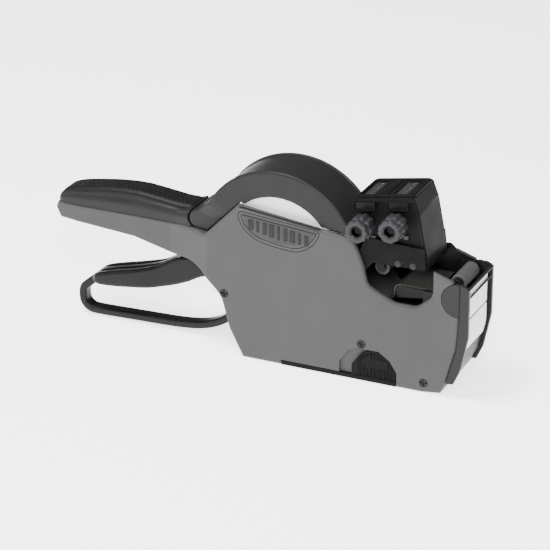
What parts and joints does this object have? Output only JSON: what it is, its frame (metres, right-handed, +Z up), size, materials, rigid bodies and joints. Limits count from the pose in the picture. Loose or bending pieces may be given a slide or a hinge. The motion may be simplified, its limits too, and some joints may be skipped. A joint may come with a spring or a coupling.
{
  "type": "price labeling gun",
  "caption": "Hand-held two-line price labeling gun: hollow shells, arched roll cover, squeeze trigger with finger loop, swinging print head, selector knobs, hinged nose door and base cover.",
  "frame": {"origin": "middle of the flat base that the gun stands on, on the centre plane", "axes": "+X runs to the nose with the handle at -X, -Y is the side with the selector knobs, +Z is up"},
  "size_m": [0.2333, 0.0443, 0.104],
  "materials": {
    "shell_plastic": "spark-textured grey moulded plastic",
    "dark_plastic": "satin dark grey moulded plastic",
    "trigger_plastic": "black moulded nylon",
    "grip_rubber": "dimpled black rubber",
    "head_plastic": "charcoal moulded plastic",
    "knob_plastic": "fluted grey plastic",
    "inner_plastic": "plain inner moulding",
    "badge_plastic": "embossed dark plate",
    "lens_clear": "clear moulded lens",
    "steel": "ground steel",
    "screw_steel": "blackened steel",
    "type_rubber": "moulded type rubber",
    "ink_felt": "ink-soaked roller",
    "roller_rubber": "grey roller rubber",
    "label_paper": "white label paper",
    "backing_paper": "glassine backing paper",
    "card": "wound card tube"
  },
  "bodies": {
    "housing": {"right_shell": "shell_plastic", "left_shell": "shell_plastic", "badge_plate": "badge_plastic", "handle_top": "dark_plastic", "grip_pad": "grip_rubber", "roll_hub_right": "inner_plastic", "roll_hub_left": "inner_plastic", "trigger_pin": "screw_steel", "trigger_spring": "steel", "head_pivot_pin": "steel", "cover_hinge_pin": "steel", "case_screws": "screw_steel", "nose_frame": "inner_plastic", "platen": "inner_plastic", "applicator_axle": "steel", "label_web": "backing_paper", "feed_axle": "steel", "base_hinge_pin": "steel"},
    "trigger": {"trigger": "trigger_plastic"},
    "print_head": {"head_case": "head_plastic", "head_yoke": "head_plastic", "rear_lens": "lens_clear", "front_lens": "lens_clear", "rear_type_bands": "type_rubber", "front_type_bands": "type_rubber", "rear_anvil_bar": "screw_steel", "front_anvil_bar": "screw_steel"},
    "rear_column": {"rear_detent_ring": "inner_plastic"},
    "rear_selector": {"rear_knob": "knob_plastic", "rear_shaft": "steel"},
    "rear_wheels": {"rear_type_wheels": "inner_plastic"},
    "front_column": {"front_detent_ring": "inner_plastic"},
    "front_selector": {"front_knob": "knob_plastic", "front_shaft": "steel"},
    "front_wheels": {"front_type_wheels": "inner_plastic"},
    "ink_arm": {"ink_arm": "inner_plastic"},
    "ink_roller": {"ink_roller": "ink_felt"},
    "roll_cover": {"roll_cover": "dark_plastic"},
    "label_roll": {"label_roll": "label_paper", "roll_core": "card"},
    "applicator_roller": {"applicator_roller": "roller_rubber"},
    "front_door": {"front_door": "dark_plastic", "label_strip": "label_paper"},
    "feed_wheel": {"feed_wheel": "inner_plastic"},
    "feed_lever": {"feed_lever": "inner_plastic"},
    "feed_pawl": {"feed_pawl": "steel"},
    "base_cover": {"base_cover": "head_plastic", "pinch_axle": "steel"},
    "pinch_roller": {"pinch_roller": "roller_rubber"},
    "base_latch": {"base_latch": "head_plastic"}
  },
  "joints": [
    {"name": "trigger_squeeze", "type": "hinge", "parent": "housing", "child": "trigger", "pos_m": [-0.0626, 0, 0.0341], "axis": [0, 1, 0], "range_deg": [0, 14], "stiffness_Nm_per_rad": 2, "springref_deg": -11.46, "deforming": ["trigger_spring"]},
    {"name": "head_stroke", "type": "hinge", "parent": "housing", "child": "print_head", "pos_m": [-0.05, 0, 0.024], "axis": [0, 1, 0], "range_deg": [0, 5.6]},
    {"name": "rear_column_pull", "type": "slide", "parent": "print_head", "child": "rear_column", "axis": [0, -1, 0], "range_m": [0, 0.007]},
    {"name": "rear_knob_turn", "type": "hinge", "parent": "rear_column", "child": "rear_selector", "pos_m": [0.0134, 0, 0.0846], "axis": [0, -1, 0], "continuous": true},
    {"name": "rear_wheels_turn", "type": "hinge", "parent": "print_head", "child": "rear_wheels", "pos_m": [0.0134, 0, 0.0846], "axis": [0, -1, 0], "continuous": true},
    {"name": "front_column_pull", "type": "slide", "parent": "print_head", "child": "front_column", "axis": [0, -1, 0], "range_m": [0, 0.007]},
    {"name": "front_knob_turn", "type": "hinge", "parent": "front_column", "child": "front_selector", "pos_m": [0.0307, 0, 0.0876], "axis": [0, -1, 0], "continuous": true},
    {"name": "front_wheels_turn", "type": "hinge", "parent": "print_head", "child": "front_wheels", "pos_m": [0.0307, 0, 0.0876], "axis": [0, -1, 0], "continuous": true},
    {"name": "ink_arm_swing", "type": "hinge", "parent": "print_head", "child": "ink_arm", "pos_m": [0.0195, 0, 0.0797], "axis": [0, 1, 0], "range_deg": [0, 22], "stiffness_Nm_per_rad": 0.02, "springref_deg": -17.19},
    {"name": "ink_roller_spin", "type": "hinge", "parent": "ink_arm", "child": "ink_roller", "pos_m": [0.021, 0, 0.0606], "axis": [0, 1, 0], "continuous": true},
    {"name": "roll_cover_hinge", "type": "hinge", "parent": "housing", "child": "roll_cover", "pos_m": [-0.0795, 0, 0.0702], "axis": [0, -1, 0], "range_deg": [0, 48]},
    {"name": "label_roll_spin", "type": "hinge", "parent": "housing", "child": "label_roll", "pos_m": [-0.034, 0, 0.06], "axis": [0, 1, 0], "continuous": true},
    {"name": "applicator_spin", "type": "hinge", "parent": "housing", "child": "applicator_roller", "pos_m": [0.0612, 0, 0.0596], "axis": [0, 1, 0], "continuous": true},
    {"name": "front_door_hinge", "type": "hinge", "parent": "housing", "child": "front_door", "pos_m": [0.0642, 0, 0.0532], "axis": [0, -1, 0], "range_deg": [0, 24]},
    {"name": "feed_wheel_turn", "type": "hinge", "parent": "housing", "child": "feed_wheel", "pos_m": [-0.009, 0, 0.0216], "axis": [0, 1, 0], "continuous": true},
    {"name": "feed_lever_stroke", "type": "hinge", "parent": "housing", "child": "feed_lever", "pos_m": [-0.009, 0, 0.0216], "axis": [0, 1, 0], "range_deg": [0, 28]},
    {"name": "pawl_lift", "type": "hinge", "parent": "feed_lever", "child": "feed_pawl", "pos_m": [-0.0098, 0, 0.0332], "axis": [0, -1, 0], "range_deg": [0, 12], "stiffness_Nm_per_rad": 0.001, "springref_deg": -17.19},
    {"name": "base_cover_hinge", "type": "hinge", "parent": "housing", "child": "base_cover", "pos_m": [-0.0332, 0, 0.00145], "axis": [0, 1, 0], "range_deg": [0, 60]},
    {"name": "pinch_roller_spin", "type": "hinge", "parent": "base_cover", "child": "pinch_roller", "pos_m": [-0.009, 0, 0.0085], "axis": [0, 1, 0], "continuous": true},
    {"name": "base_latch_slide", "type": "slide", "parent": "base_cover", "child": "base_latch", "axis": [-1, 0, 0], "range_m": [0, 0.0065]}
  ],
  "couplings": [
    {"joint": "head_stroke", "follows": "trigger_squeeze", "ratio": 0.4},
    {"joint": "feed_lever_stroke", "follows": "trigger_squeeze", "ratio": 2},
    {"joint": "rear_wheels_turn", "follows": "rear_knob_turn", "ratio": 1},
    {"joint": "front_wheels_turn", "follows": "front_knob_turn", "ratio": 1}
  ]
}
